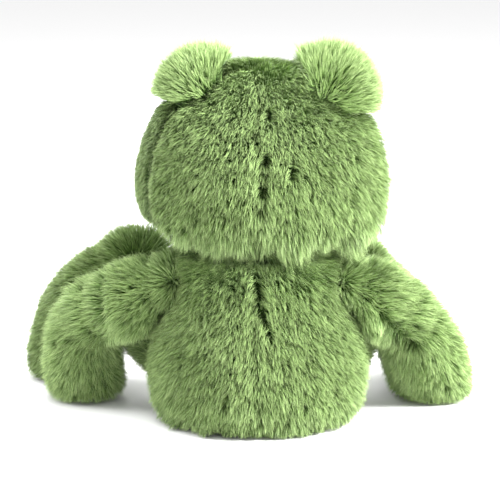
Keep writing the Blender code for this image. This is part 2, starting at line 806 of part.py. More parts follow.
def add_limbs(side):
    arm_axis, leg_axis = shoulder_axis(side), hip_axis(side)
    arm_reliefs = body_reliefs(side, "shoulder", SHOULDER_JOINT[side], arm_axis, SHOULDER_RAISE, 3)
    leg_reliefs = body_reliefs(side, "hip", HIP_JOINT[side], leg_axis, HIP_CLOSE, 1)
    add_limb(
        side, "upper_arm", "forearm", SHOULDER_JOINT[side], ELBOW_JOINT[side], arm_axis, arm_reliefs
    )
    add_limb(side, "thigh", "shin", HIP_JOINT[side], KNEE_JOINT[side], leg_axis, leg_reliefs)


add_body()
add_head()
add_eyes()
add_embroidery()
for side in SIDES:
    add_limbs(side)
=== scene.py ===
"""Dresses the solids of a seated plush frog: sewn backing cloth, long pile, safety eyes and embroidery.

The frog faces -Y, its own left side is +X, and it sits on the floor at Z = 0. Lengths are in metres.
"""

import json
import math

import bmesh
import bpy
import numpy as np
from mathutils import Matrix, Vector, noise
from mathutils.bvhtree import BVHTree
from mathutils.kdtree import KDTree


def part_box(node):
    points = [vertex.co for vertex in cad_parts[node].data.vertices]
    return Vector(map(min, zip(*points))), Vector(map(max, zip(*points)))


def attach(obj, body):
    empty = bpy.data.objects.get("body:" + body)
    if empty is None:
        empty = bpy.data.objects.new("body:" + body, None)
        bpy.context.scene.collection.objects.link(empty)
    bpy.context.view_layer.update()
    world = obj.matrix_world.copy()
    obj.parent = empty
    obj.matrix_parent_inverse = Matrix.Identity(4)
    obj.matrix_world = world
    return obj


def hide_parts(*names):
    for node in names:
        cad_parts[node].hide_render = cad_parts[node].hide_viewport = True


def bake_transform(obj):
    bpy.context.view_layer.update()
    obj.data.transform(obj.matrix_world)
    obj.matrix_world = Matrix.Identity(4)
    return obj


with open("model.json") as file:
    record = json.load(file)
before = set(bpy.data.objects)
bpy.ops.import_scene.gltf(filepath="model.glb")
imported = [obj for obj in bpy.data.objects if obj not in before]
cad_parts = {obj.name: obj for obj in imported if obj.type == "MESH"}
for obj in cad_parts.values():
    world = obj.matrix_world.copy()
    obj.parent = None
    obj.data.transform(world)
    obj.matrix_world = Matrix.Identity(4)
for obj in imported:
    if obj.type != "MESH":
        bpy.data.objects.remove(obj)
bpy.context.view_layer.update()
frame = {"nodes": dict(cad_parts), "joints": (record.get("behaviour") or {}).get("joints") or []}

bl_info = {
    "name": "Plush Frog",
    "version": (1, 0, 0),
    "blender": (4, 5, 0),
    "location": "3D View > Sidebar > Plush Frog",
    "description": "Backing cloth, long pile, safety eyes and embroidery of a seated plush frog",
    "category": "Object",
}

UP = Vector((0.0, 0.0, 1.0))
BACK = Vector((0.0, 1.0, 0.0))
SIDES = {"left": 1.0, "right": -1.0}
JOINT_PLACE = {joint["name"]: Vector(joint["pos_m"]) for joint in frame["joints"]}
BODY_PANELS = ("body_back_left_panel", "body_back_right_panel", "belly_panel", "seat_panel")
HEAD_PANELS = ("head_back_left_panel", "head_back_right_panel", "face_panel")

# The joint at each limb's root, the joint at its bend, and its two sections
LIMBS = {
    "arm": ("shoulder_raise", "elbow_bend", "upper_arm", "forearm"),
    "leg": ("hip_swing", "knee_bend", "thigh", "shin"),
}
LIMB_RADIUS = 0.018
# A point this deep in another cloth is hidden
WELL_INSIDE = 0.001

# How far up a strand each of its points lies, as a share of its length
STRAND_SHARES = np.array([0.0, 0.62, 1.0])
TIP_WIDTH_SHARE = 0.85
MOST_STRANDS_IN_A_PIECE = 64000

# How unevenly strands and tufts stand, with turn and lean as angles
STRAND_SPREAD = {"turn": 0.22, "length": 0.10, "lean": 0.16, "tone": 0.17}
TUFT_SPREAD = {"turn": 0.38, "length": 0.20, "lean": 0.22, "tone": 0.14}
LEAST_AND_MOST_LENGTH = (0.4, 1.6)
TUFT_PULL_SPREAD = (0.5, 1.2)
TUFT_BREADTH_SHARE = 0.45
TUFT_CURL = 1.5
DARKEST_AND_PALEST = (0.02, 0.98)
WIDTH_SPREAD = (0.75, 1.25)
MAP_WIDTH = 0.002
FLOOR_LIFT = (0.0003, 0.0016)

# Slow changes in the lie of the pile: patches to a metre, and how much they change
SWIRLS = 75.0
WAVES = 130.0
WAVE_IN_LENGTH = 0.07
WAVE_IN_LEAN = 0.12

# Short partings along the lie of the pile, darkened with painted shade
TICK_LENGTHS = (0.002, 0.008)
TICK_SHORTER = (0.3, 0.8)

# A parting is pressed short in its core, leans over and is darkened with painted shade
PARTING_CORE_SHARE = 0.4
PARTING_LEAN = 0.25
PARTING_SHADE = 0.25

# A gap in the pile: how far strands turn away from it, and where they are short and darkened with painted
# shade
GAP_REACH = 0.0024
GAP_TURN = 1.8
GAP_CORE = 0.0009
GAP_SHORTER = 0.8
GAP_PAINTED_SHADE = 0.5

# A pit where a stitch catches the pile, darkened with painted shade
PIT_REACH = 0.0022
PIT_SCATTER = 0.0018
PIT_LONGEST = 0.007
PIT_PAINTED_SHADE = 0.5
# Painted shade in the creases where cloths meet
CREASE_PAINTED_SHADE = 0.45

# Points that the pile of the body and of the head lies away from
BODY_WHORL = (0.0, 0.0, 0.28)
HEAD_WHORL = (0.0, -0.01, 0.26)

# A seam down the back: how many points give its way, and how far and how often it wanders
SEAM_POINTS = 12
SEAM_BREADTH = 0.003
SEAM_WANDER = 0.005
SEAM_TURNS = 60.0

# Where the cloth folds at each arm's bend and the pile parts with painted shade, as steps from the elbow
FOLDS = {
    "left": ((-0.006, 0.014, 0.022), (-0.005, 0.02, 0.017), (-0.005, 0.022, 0.01), (-0.006, 0.023, 0.002)),
    "right": ((0.012, 0.024, 0.006), (0.006, 0.017, -0.005), (-0.01, 0.006, -0.018)),
}

# Where the pile stands open in short gaps on the back, darkened with painted shade, as places across and
# up
GAPS = {
    "body": (
        ((0.004, 0.113), (0.002, 0.096)),
        ((0.000, 0.091), (-0.0015, 0.085)),
        ((-0.0015, 0.080), (-0.004, 0.069)),
        ((-0.005, 0.064), (-0.0055, 0.061)),
    ),
    "head": (
        ((-0.006, 0.189), (-0.0066, 0.185)),
        ((-0.005, 0.167), (-0.0047, 0.1645)),
        ((-0.003, 0.1495), (-0.0026, 0.1465)),
        ((-0.0178, 0.160), (-0.018, 0.156)),
        ((0.001, 0.129), (-0.002, 0.119)),
    ),
}

# A safety eye: its steps round, and the ribs and chamfers of its stem
EYE_STEPS = 48
EYE_RIB = 0.0012
EYE_CHAMFER = 0.0003

# A stitch of thread: how thick it is along its way, and how high it arches
STITCH_SHAPE = ((0.0, 0.45), (0.2, 0.85), (0.5, 1.0), (0.8, 0.85), (1.0, 0.45))
STITCH_FACETS = 6
STITCH_ARCH = 0.0006
STITCH_SUNK_SHARE = 0.6
STITCH_WIDTH_SHARE = 1.15
STITCH_SLANT = 0.35
MOUTH_STOPS = 24
MOUTH_SMOOTHING = 9
MOUTH_TAPER = 8
NOSTRIL_STITCHES = 7
NOSTRIL_ROUNDNESS = 3.6

# The lamps: where each stands and how large it is
LAMPS = {
    "key": (Vector((-0.95, 0.35, 0.75)), 0.3),
    "fill": (Vector((0.95, 0.05, 0.70)), 0.4),
    "top": (Vector((0.0, 0.1, 1.0)), 0.7),
    "front": (Vector((0.35, -1.3, 0.95)), 0.9),
}
AIM = Vector((0.0048, 0.0, 0.1035))
SENSOR_WIDTH = 36.0

# The tones of single strands, from dark to pale, which also carry the painted light and shade of the lie
PILE_TONES = (
    (0.00, (0.40, 0.38, 0.36)),
    (0.30, (0.78, 0.77, 0.74)),
    (0.65, (1.05, 1.05, 1.05)),
    (1.00, (1.55, 1.45, 1.55)),
)
# The numbers of the colour sockets of a mix node
MIX_FIRST, MIX_SECOND, MIX_RESULT = 6, 7, 2


# Sizes and colours


def size_field(name, description, default, unit="LENGTH"):
    return bpy.props.FloatProperty(name=name, description=description, default=default, unit=unit)


def angle_field(name, description, degrees):
    return size_field(name, description, math.radians(degrees), "ROTATION")


def share_field(name, description, default):
    return bpy.props.FloatProperty(name=name, description=description, default=default, subtype="FACTOR")


def colour_field(name, description, default):
    return bpy.props.FloatVectorProperty(
        name=name, description=description, default=default, subtype="COLOR", size=3
    )


class ClothSettings(bpy.types.PropertyGroup):
    cell: size_field("Cell", "Size of the backing cloth's mesh", 0.0018)
    depth: size_field("Depth", "How far the cloth lies below the pressed pile", 0.0036)
    dome_depth: size_field("Dome depth", "The same on the plump eye domes", 0.0030)
    smoothing: bpy.props.IntProperty(name="Smoothing", description="Rounds of smoothing", default=6)
    colour: colour_field("Colour", "Backing cloth", (0.026, 0.058, 0.011))


class PileSettings(bpy.types.PropertyGroup):
    length: size_field("Length", "Length of a strand of the long pile", 0.0110)
    face_length: size_field("Face length", "Length of a strand on the face", 0.0060)
    lean: angle_field("Lean", "How far the strands lean from upright", 20)
    bend: angle_field("Bend", "How much further they lean at their tips", 44)
    width: size_field("Width", "Width of a strand at its root", 0.00036)
    density: size_field("Density", "Strands to a square millimetre of cloth", 3.2, "NONE")
    tuft_spacing: size_field("Tuft spacing", "Distance between the tufts that strands gather in", 0.0011)
    tuft_pull: share_field("Tuft pull", "How closely the tips of a tuft come together", 0.5)
    ruffle: angle_field("Ruffle", "How far the lie of the pile swirls", 12)
    # The pile is darker towards its roots: painted shade deep in the pile over its own green
    shaded_root_colour: colour_field("Root colour", "Pile at its roots", (0.024, 0.060, 0.008))
    middle_colour: colour_field("Middle colour", "Pile half way up", (0.125, 0.222, 0.054))
    tip_colour: colour_field("Tip colour", "Pile at its tips", (0.375, 0.510, 0.205))
    face_shade: share_field("Face shade", "Brightness of the short pile beside the long", 0.80)


class TrimSettings(bpy.types.PropertyGroup):
    eye_colour: colour_field("Eye colour", "Safety eyes", (0.006, 0.005, 0.005))
    washer_colour: colour_field("Washer colour", "Locking washers behind the eyes", (0.75, 0.75, 0.72))
    thread_colour: colour_field("Thread colour", "Mouth and nostrils", (0.010, 0.022, 0.008))
    stitch_pitch: size_field("Stitch pitch", "Distance from stitch to stitch", 0.00075)
    stitch_length: size_field("Stitch length", "Length of a satin stitch", 0.0030)
    nostril_width: size_field("Nostril width", "Across a nostril's stitches", 0.0042)
    nostril_height: size_field("Nostril height", "Length of a nostril's longest stitch", 0.0052)


class StageSettings(bpy.types.PropertyGroup):
    camera_distance: size_field("Camera distance", "From the camera to the frog", 1.2)
    camera_rise: angle_field("Camera rise", "Angle of the camera above level", 12)
    frame_width: size_field("Frame width", "Width of the picture at the frog", 0.3)
    key_power: size_field("Key power", "Soft lamp at the picture's upper right", 44.0, "POWER")
    fill_power: size_field("Fill power", "Soft lamp at the picture's left", 7.0, "POWER")
    top_power: size_field("Top power", "Lamp above the frog", 13.0, "POWER")
    front_power: size_field("Front power", "Large soft lamp before the face", 14.0, "POWER")
    surround: share_field("Surround", "Brightness of the pale surroundings", 0.90)
    floor: share_field("Floor", "Paleness of the floor", 0.95)


# Mesh helpers


def put_object(name, mesh, *materials):
    obj = bpy.data.objects.new(name, mesh)
    bpy.context.scene.collection.objects.link(obj)
    for material in materials:
        mesh.materials.append(material)
    return obj


def face_outwards(bm):
    bmesh.ops.recalc_face_normals(bm, faces=bm.faces)
    if bm.calc_volume(signed=True) < 0:
        bmesh.ops.reverse_faces(bm, faces=bm.faces)


def new_mesh(name, bm, smooth=True):
    mesh = bpy.data.meshes.new(name)
    bm.to_mesh(mesh)
    bm.free()
    for polygon in mesh.polygons:
        polygon.use_smooth = smooth
    return mesh


def vertex_values(mesh, attribute):
    values = np.empty(len(mesh.vertices) * 3)
    mesh.vertices.foreach_get(attribute, values)
    return values.reshape(-1, 3)


def node_places(node):
    return vertex_values(frame["nodes"][node].data, "co")


def node_middle(node):
    places = node_places(node)
    return (places.min(axis=0) + places.max(axis=0)) / 2


def search_tree(mesh):
    """A tree that finds the nearest place on a mesh."""
    bm = bmesh.new()
    bm.from_mesh(mesh)
    tree = BVHTree.FromBMesh(bm)
    bm.free()
    return tree


def away_from_mesh(places, mesh):
    tree = search_tree(mesh)
    return np.array([tree.find_nearest(place)[3] for place in places])


def unit(vectors):
    return vectors / np.maximum(np.linalg.norm(vectors, axis=-1, keepdims=True), 1e-9)


def rising(values, start, end):
    """0 up to the start, 1 from the end on, and a smooth step between them."""
    share = np.clip((values - start) / (end - start), 0.0, 1.0)
    return share * share * (3 - 2 * share)


def distances(places, point):
    return np.linalg.norm(places - np.array(point), axis=1)


def nearness(away, reach, steepness=2):
    """1 where the distance is 0, and falling to nothing past the reach."""
    return np.exp(-((away / reach) ** steepness))


def patches(places, scale):
    """A smooth random value for each place, about -1 to 1."""
    return 1.6 * np.array([noise.noise(place) for place in places * scale])


# Materials


def feed(tree, node, inputs):
    """Sets each of these sockets to a value, or links it to another node's output."""
    for name, value in inputs.items():
        if isinstance(value, bpy.types.NodeSocket):
            tree.links.new(value, node.inputs[name])
        else:
            node.inputs[name].default_value = value


def add_node(tree, kind, **inputs):
    node = tree.nodes.new(f"ShaderNode{kind}")
    feed(tree, node, inputs)
    return node


def ramp(tree, share, stops):
    """Colours between these stops, by how large the share is."""
    node = add_node(tree, "ValToRGB", Fac=share)
    elements = node.color_ramp.elements
    while len(elements) < len(stops):
        elements.new(0.5)
    for element, (place, colour) in zip(elements, stops):
        element.position = place
        element.color = (*colour, 1.0)
    return node.outputs["Color"]


def shaded(colour, share):
    return [share * part for part in colour]


def fine_noise(tree, scale, detail):
    place = add_node(tree, "TexCoord").outputs["Object"]
    return add_node(tree, "TexNoise", Vector=place, Scale=scale, Detail=detail).outputs["Fac"]


def mottled(tree, pattern, colour, stops):
    """The colour, made darker or paler at each stop of the pattern."""
    return ramp(tree, pattern, [(place, shaded(colour, share)) for place, share in stops])


def raised(tree, pattern, strength, distance):
    """A surface that the pattern stands out of."""
    return add_node(tree, "Bump", Height=pattern, Strength=strength, Distance=distance).outputs["Normal"]


def pile_look(tree, settings, shade):
    """Dark at the roots and pale at the tips, which paints the shade deep in the pile, with a tone of its
    own for each strand.
    The strand's map gives the tone, with the lie's painted light and shade, across and the height up the
    strand."""
    strand_map = add_node(tree, "UVMap")
    strand_map.uv_map = "OFBake"
    parts = add_node(tree, "SeparateXYZ", Vector=strand_map.outputs["UV"])
    colours = (settings.shaded_root_colour, settings.middle_colour, settings.tip_colour)
    stops = [(place, shaded(colour, shade)) for place, colour in zip((0.0, 0.5, 1.0), colours)]
    mix = add_node(tree, "Mix")
    mix.data_type = "RGBA"
    mix.blend_type = "MULTIPLY"
    up_strand = ramp(tree, parts.outputs["Y"], stops)
    tone = ramp(tree, parts.outputs["X"], PILE_TONES)
    feed(tree, mix, {"Factor": 1.0, MIX_FIRST: up_strand, MIX_SECOND: tone})
    return {
        "Base Color": mix.outputs[MIX_RESULT],
        "Roughness": 0.5,
        "Specular IOR Level": 0.3,
        "Sheen Weight": 0.15,
        "Sheen Roughness": 0.4,
        "Sheen Tint": (0.75, 0.95, 0.55, 1.0),
    }


def cloth_look(tree, colour):
    """Knitted backing: fine ribs with a little colour variation."""
    place = add_node(tree, "TexCoord").outputs["Object"]
    ribs = add_node(tree, "TexWave", Vector=place, Scale=320.0, Distortion=1.5).outputs["Fac"]
    grain = fine_noise(tree, scale=90.0, detail=2.0)
    return {
        "Base Color": mottled(tree, grain, colour, ((0.3, 0.7), (0.7, 1.3))),
        "Normal": raised(tree, ribs, strength=0.4, distance=0.0003),
        "Roughness": 0.9,
        "Specular IOR Level": 0.1,
    }


def plastic_look(tree, colour, roughness, coat):
    """Moulded plastic with the faint haze of a moulded surface."""
    haze = fine_noise(tree, scale=220.0, detail=4.0)
    limits = {"Value": haze, "To Min": roughness * 0.7, "To Max": roughness * 1.5}
    return {
        "Base Color": mottled(tree, haze, colour, ((0.35, 0.8), (0.65, 1.2))),
        "Roughness": add_node(tree, "MapRange", **limits).outputs["Result"],
        "Coat Weight": coat,
        "Coat Roughness": 0.04,
    }


def thread_look(tree, colour):
    """Embroidery floss with fine fibres along each stitch."""
    fibres = fine_noise(tree, scale=1400.0, detail=2.0)
    return {
        "Base Color": mottled(tree, fibres, colour, ((0.3, 0.6), (0.7, 1.6))),
        "Normal": raised(tree, fibres, strength=0.5, distance=0.0001),
        "Roughness": 0.8,
        "Specular IOR Level": 0.08,
    }


def floor_look(tree, paleness):
    colour = (paleness, paleness, paleness, 1.0)
    return {"Base Color": colour, "Roughness": 0.9, "Specular IOR Level": 0.1}


def kept_material(name, look, **values):
    """The material of this name, made the first time it is asked for."""
    material = bpy.data.materials.get(name)
    if not material:
        material = bpy.data.materials.new(name)
        material.use_nodes = True
        tree = material.node_tree
        feed(tree, tree.nodes["Principled BSDF"], look(tree, **values))
    return material


# Backing cloth


def sewn_cloth(name, nodes, depth):
    """One closed skin round these solids, rounded by its stuffing and drawn in to the pile's roots."""
    cloth = bpy.context.scene.frog_cloth
    bm = bmesh.new()
    for node in nodes:
        bm.from_mesh(frame["nodes"][node].data)
    bmesh.ops.remove_doubles(bm, verts=bm.verts, dist=1e-6)
    draft = put_object(f"{name}_draft", new_mesh(f"{name}_draft", bm))
    even = draft.modifiers.new("even", "REMESH")
    even.mode = "VOXEL"
    even.voxel_size = cloth.cell
    rounded = draft.modifiers.new("rounded", "SMOOTH")
    rounded.iterations = cloth.smoothing
    graph = bpy.context.evaluated_depsgraph_get()
    mesh = bpy.data.meshes.new_from_object(draft.evaluated_get(graph))
    bpy.data.objects.remove(draft, do_unlink=True)

    bm = bmesh.new()
    bm.from_mesh(mesh)
    bpy.data.meshes.remove(mesh)
    drop_inner_shells(bm)
    face_outwards(bm)
    bm.normal_update()
    moves = [(vert, vert.normal.copy()) for vert in bm.verts]
    for vert, normal in moves:
        vert.co -= normal * depth
    material = kept_material("backing_cloth", cloth_look, colour=cloth.colour)
    obj = put_object(name, new_mesh(name, bm), material)
    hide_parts(*nodes)
    return obj


def drop_inner_shells(bm):
    """Keeps the largest shell."""
    left = set(bm.verts)
    shells = []
    while left:
        shell, edge = set(), [left.pop()]
        while edge:
            vert = edge.pop()
            shell.add(vert)
            for link in vert.link_edges:
                other = link.other_vert(vert)
                if other in left:
                    left.remove(other)
                    edge.append(other)
        shells.append(shell)
    shells.sort(key=len)
    for shell in shells[:-1]:
        bmesh.ops.delete(bm, geom=list(shell), context="VERTS")


def nodes_with(*words):
    return [node for node in sorted(frame["nodes"]) if any(word in node for word in words)]


class FROG_OT_cloths(bpy.types.Operator):
    """Sew the backing cloths of the body, neck, head, eye domes, arms and legs"""

    bl_idname = "frog.cloths"
    bl_label = "Backing Cloths"

    def execute(self, context):
        cloth = context.scene.frog_cloth
        body = ["belly_panel", "seat_panel", "body_stuffing", "seat_pellet_bag"] + nodes_with("body_back")
        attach(sewn_cloth("body_cloth", body, cloth.depth), "torso")
        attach(sewn_cloth("neck_cloth", ["neck_stuffing"], cloth.depth), "neck")
        head = ["face_panel", "head_stuffing"] + nodes_with("head_back")
        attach(sewn_cloth("head_cloth", head, cloth.depth), "head")
        for side in SIDES:
            dome = [f"{side}_eye_dome", f"{side}_eye_dome_stuffing"]
            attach(sewn_cloth(f"{side}_dome_cloth", dome, cloth.dome_depth), "head")
            for limb, (_, _, upper, lower) in LIMBS.items():
                nodes = nodes_with(f"{side}_{upper}", f"{side}_{lower}")
                sewn_cloth(f"{side}_{limb}_cloth", nodes, cloth.depth)
        return {"FINISHED"}


# How the pile lies


class Cloth:
    """A backing cloth as arrays: its corners, their normals, and how to spread points over it."""

    def __init__(self, name):
        mesh = bpy.data.objects[name].data
        mesh.calc_loop_triangles()
        self.places = vertex_values(mesh, "co")
        self.normals = vertex_values(mesh, "normal")
        self.heights = self.places[:, 2]
        corners = np.empty(len(mesh.loop_triangles) * 3, np.int32)
        mesh.loop_triangles.foreach_get("vertices", corners)
        self.corners = corners.reshape(-1, 3)

    def spread(self, density, rng):
        """Random points on the cloth, as triangles and the weights of their corners."""
        first, second, third = (self.places[self.corners[:, number]] for number in range(3))
        areas = np.linalg.norm(np.cross(second - first, third - first), axis=1) / 2
        count = int(areas.sum() * 1e6 * density)
        self.chosen = self.corners[rng.choice(len(areas), count, p=areas / areas.sum())]
        across, along = rng.random(count), rng.random(count)
        over = across + along > 1
        across[over], along[over] = 1 - across[over], 1 - along[over]
        self.weights = np.stack([1 - across - along, across, along], axis=1)

    def at_points(self, values):
        """Values of the cloth's corners, taken to the points spread over it."""
        picked = values[self.chosen]
        weights = self.weights if values.ndim == 1 else self.weights[:, :, None]
        return (picked * weights).sum(axis=1)

    def on_back(self, across, height):
        """The place on the cloth's back that lies this far across and up."""
        away = np.hypot(self.places[:, 0] - across, self.heights - height)
        facing_away = self.normals[:, 1] < 0.2
        away[facing_away] = np.inf
        return self.places[away.argmin()]

    def back_seam(self, low, high):
        """Points down the middle of the cloth's back, which wander a little as a sewn seam does."""
        points = []
        for height in np.linspace(high, low, SEAM_POINTS):
            beside = np.abs(self.places[:, 0]) + np.abs(self.heights - height)
            behind = np.flatnonzero((self.places[:, 1] > 0) & (beside < SEAM_BREADTH))
            if len(behind):
                place = self.places[behind].mean(axis=0)
                place[0] += SEAM_WANDER * noise.noise((0.5, 0.5, height * SEAM_TURNS))
                points.append(place)
        return points


def turned(headings, normals, angles):
    side = np.cross(normals, headings)
    return headings * np.cos(angles)[:, None] + side * np.sin(angles)[:, None]


def flow_from(places, centre):
    """Away from a centre."""
    return unit(places - np.array(centre))


def flow_along(places, path):
    """Along the nearest stretch of a path, turning smoothly from one stretch to the next."""
    path = [np.array(point) for point in path]
    total = np.zeros_like(places)
    for first, second in zip(path, path[1:]):
        away, _ = away_from_line(places, [first, second])
        total += unit(second - first) / (away[:, None] ** 4 + 1e-12)
    return unit(total)


def away_from_line(places, line):
    """How far each place is from a line of points, and the way there from it."""
    line = [np.array(point) for point in line]
    nearest = np.full(len(places), np.inf)
    ways = np.zeros_like(places)
    for first, second in zip(line, line[1:]):
        run = second - first
        if not run.any():
            continue
        share = np.clip((places - first) @ run / (run @ run), 0.0, 1.0)
        beside = places - (first + share[:, None] * run)
        away = np.linalg.norm(beside, axis=1)
        closer = away < nearest
        nearest[closer] = away[closer]
        ways[closer] = beside[closer]
    return nearest, unit(ways)


class Lie:
    """How the pile lies: its flow, length, lean, and painted light and shade at each of the cloth's
    corners, and its gaps.
    """

    def __init__(self, cloth, flows):
        pile = bpy.context.scene.frog_pile
        self.places = cloth.places
        swirls, waves = patches(cloth.places, SWIRLS), patches(cloth.places + 0.5, WAVES)
        self.flows = turned(flows, cloth.normals, swirls * pile.ruffle)
        # Painted light and shade of the pile, paler where positive and darker where negative
        self.tones = np.zeros(len(cloth.places))
        self.lengths = pile.length * (1 + WAVE_IN_LENGTH * waves)
        self.leans = pile.lean + WAVE_IN_LEAN * waves
        self.gaps = []

    def change(self, where, length=0.0, lean=0.0, tone=0.0):
        """Makes the pile longer by a share, lean further and paler with painted light, darker with painted
        shade for a negative tone, in full where the first value is 1.
        """
        self.lengths = self.lengths * (1 + where * length)
        self.leans = self.leans + where * lean
        self.tones = self.tones + where * tone

    def settle(self, line):
        """A line's points, moved to the nearest places of the cloth."""
        return [self.places[distances(self.places, point).argmin()] for point in line]

    def fan(self, centre, reach, strength):
        """The pile turns away from a point."""
        beside = self.places - np.array(centre)
        near = nearness(np.linalg.norm(beside, axis=1), reach)
        self.flows = self.flows + unit(beside) * (near * strength)[:, None]

    def part(self, line, reach, strength, shorter):
        """The pile parts along a line, is pressed short in it and darkened there with painted shade."""
        away, ways = away_from_line(self.places, self.settle(line))
        near = nearness(away, reach)
        self.flows = self.flows + ways * (near * strength)[:, None]
        self.change(near, lean=PARTING_LEAN)
        core = nearness(away, reach * PARTING_CORE_SHARE)
        # Painted shade in the parting's core
        self.change(core, length=-shorter, tone=-PARTING_SHADE * shorter)

    def clip(self, line, reach, shorter):
        """The pile is clipped short along a line."""
        away, _ = away_from_line(self.places, self.settle(line))
        self.change(nearness(away, reach, steepness=4), length=-shorter)

    def ticks(self, number, rng):
        """Short partings here and there, along the lie of the pile, each with painted shade."""
        for start in rng.choice(len(self.places), number, replace=False):
            place = self.places[start]
            end = place + unit(self.flows[start]) * rng.uniform(*TICK_LENGTHS)
            self.part([place, end], reach=0.002, strength=0.5, shorter=rng.uniform(*TICK_SHORTER))

    def pinch(self, others, reach, shorter):
        """The pile is short in the creases where this cloth meets others, and darkened there with painted
        shade.
        """
        for other in others:
            away = away_from_mesh(self.places, bpy.data.objects[other].data)
            self.change(nearness(away, reach), length=-shorter, tone=-CREASE_PAINTED_SHADE)

    def pits(self, line, spacing, shorter, rng):
        """Small pits where stitches along a line catch the pile, darkened with painted shade."""
        line = [np.array(point) for point in line]
        for first, second in zip(line, line[1:]):
            number = max(1, round(float(np.linalg.norm(second - first)) / spacing))
            for step in range(number):
                share = (step + rng.uniform(0.2, 0.8)) / number
                place = first + (second - first) * share + rng.normal(0.0, PIT_SCATTER, 3)
                top = place + UP * rng.uniform(0.0, PIT_LONGEST)
                away, _ = away_from_line(self.places, [place, top])
                deep = shorter * rng.uniform(0.0, 1.0) * nearness(away, PIT_REACH)
                # Painted shade in the pit
                self.change(deep, length=-1.0, tone=-PIT_PAINTED_SHADE)


# Strands


def strand_points(roots, normals, headings, lengths, leans, spread, rng):
    """The points of each strand, which leaves the cloth unevenly and bends over along its heading."""
    count = len(roots)
    headings = turned(headings, normals, rng.normal(0.0, spread["turn"], count))
    lengths = lengths * rng.normal(1.0, spread["length"], count).clip(*LEAST_AND_MOST_LENGTH)
    leans = leans + rng.normal(0.0, spread["lean"], count)
    points = [roots]
    steps = np.diff(STRAND_SHARES)
    for number, step in enumerate(steps):
        angle = leans + bpy.context.scene.frog_pile.bend * (number / (len(steps) - 1) - 0.5)
        way = normals * np.cos(angle)[:, None] + headings * np.sin(angle)[:, None]
        points.append(points[-1] + way * (lengths * step)[:, None])
    return np.stack(points, axis=1)


def nearest_of(places, wanted):
    tree = KDTree(len(places))
    for number, place in enumerate(places):
        tree.insert(place, number)
    tree.balance()
    return np.array([tree.find(place)[1] for place in wanted])


def comb(cloth, lie, rng):
    """Strands all over a cloth, as they lie there, gathered in tufts."""
    pile = bpy.context.scene.frog_pile
    cloth.spread(pile.density, rng)
    roots = cloth.at_points(cloth.places)
    normals = unit(cloth.at_points(cloth.normals))
    headings = cloth.at_points(lie.flows)
    headings = unit(headings - normals * (headings * normals).sum(axis=1)[:, None])
    lengths = cloth.at_points(lie.lengths)
    leans = cloth.at_points(lie.leans)
    painted_shading = cloth.at_points(lie.tones)
    # The lie's painted light and shade, with more painted shade in each gap
    for gap in lie.gaps:
        away, ways = away_from_line(roots, gap)
        headings = unit(headings + ways * (GAP_TURN * nearness(away, GAP_REACH))[:, None])
        core = nearness(away, GAP_CORE)
        lengths = lengths * (1 - GAP_SHORTER * core)
        # Painted shade in the gap's core
        painted_shading = painted_shading - GAP_PAINTED_SHADE * core

    count = len(roots)
    tufts = int(count / pile.density / (pile.tuft_spacing * 1e3) ** 2)
    leaders = rng.choice(count, tufts, replace=False)
    own = (values[leaders] for values in (roots, normals, headings, lengths, leans))
    leader_points = strand_points(*own, TUFT_SPREAD, rng)
    points = strand_points(roots, normals, headings, lengths, leans, STRAND_SPREAD, rng)
    tuft = nearest_of(roots[leaders], roots)
    beside = roots - roots[leaders][tuft]
    gathered = leader_points[tuft] + beside[:, None, :] * TUFT_BREADTH_SHARE
    pull = pile.tuft_pull * rng.uniform(*TUFT_PULL_SPREAD, tufts)[tuft]
    weight = STRAND_SHARES**TUFT_CURL * pull[:, None]
    points += (gathered - points) * weight[:, :, None]
    tones = painted_shading + rng.normal(0.5, TUFT_SPREAD["tone"], tufts)[tuft]
    tones += rng.normal(0.0, STRAND_SPREAD["tone"], count)
    return points, normals, np.clip(tones, *DARKEST_AND_PALEST)


def above_floor(points, rng):
    """Strands that would sink into the floor lie on it."""
    lowest = rng.uniform(*FLOOR_LIFT, len(points))
    points[:, :, 2] = np.maximum(points[:, :, 2], lowest[:, None])


def pile_mesh(name, points, normals, tones, width, rng):
    """A thin tapering blade for each strand, with its tone and height on the map."""
    count = len(points)
    along = unit(points[:, -1] - points[:, 0])
    side = unit(np.cross(along, normals))
    twist = rng.uniform(-1.0, 1.0, count)
    side = side * np.cos(twist)[:, None] + np.cross(along, side) * np.sin(twist)[:, None]
    widths = width * rng.uniform(*WIDTH_SPREAD, count) / 2
    verts = np.empty((count, 5, 3))
    for number, share in enumerate((1.0, TIP_WIDTH_SHARE)):
        half = side * (widths * share)[:, None]
        verts[:, 2 * number] = points[:, number] - half
        verts[:, 2 * number + 1] = points[:, number] + half
    verts[:, 4] = points[:, 2]

    corners = np.array([0, 1, 3, 2, 2, 3, 4])
    numbers = np.arange(count)[:, None]
    loops = (corners + 5 * numbers).ravel()
    starts = (np.array([0, 4]) + len(corners) * numbers).ravel()
    mesh = bpy.data.meshes.new(name)
    mesh.vertices.add(count * 5)
    mesh.loops.add(len(loops))
    mesh.polygons.add(count * 2)
    mesh.vertices.foreach_set("co", verts.ravel())
    mesh.loops.foreach_set("vertex_index", loops)
    mesh.polygons.foreach_set("loop_start", starts)
    mesh.polygons.foreach_set("loop_total", np.tile((4, 3), count))
    mesh.polygons.foreach_set("use_smooth", np.ones(count * 2, bool))
    mesh.update(calc_edges=True)

    places = np.empty((count, 5, 2))
    places[:, :, 0] = tones[:, None] + np.array([-1, 1, -1, 1, 0]) * MAP_WIDTH
    places[:, :, 1] = STRAND_SHARES[[0, 0, 1, 1, 2]]
    strand_map = mesh.uv_layers.new(name="OFBake")
    strand_map.data.foreach_set("uv", places[:, corners].ravel())
    return mesh


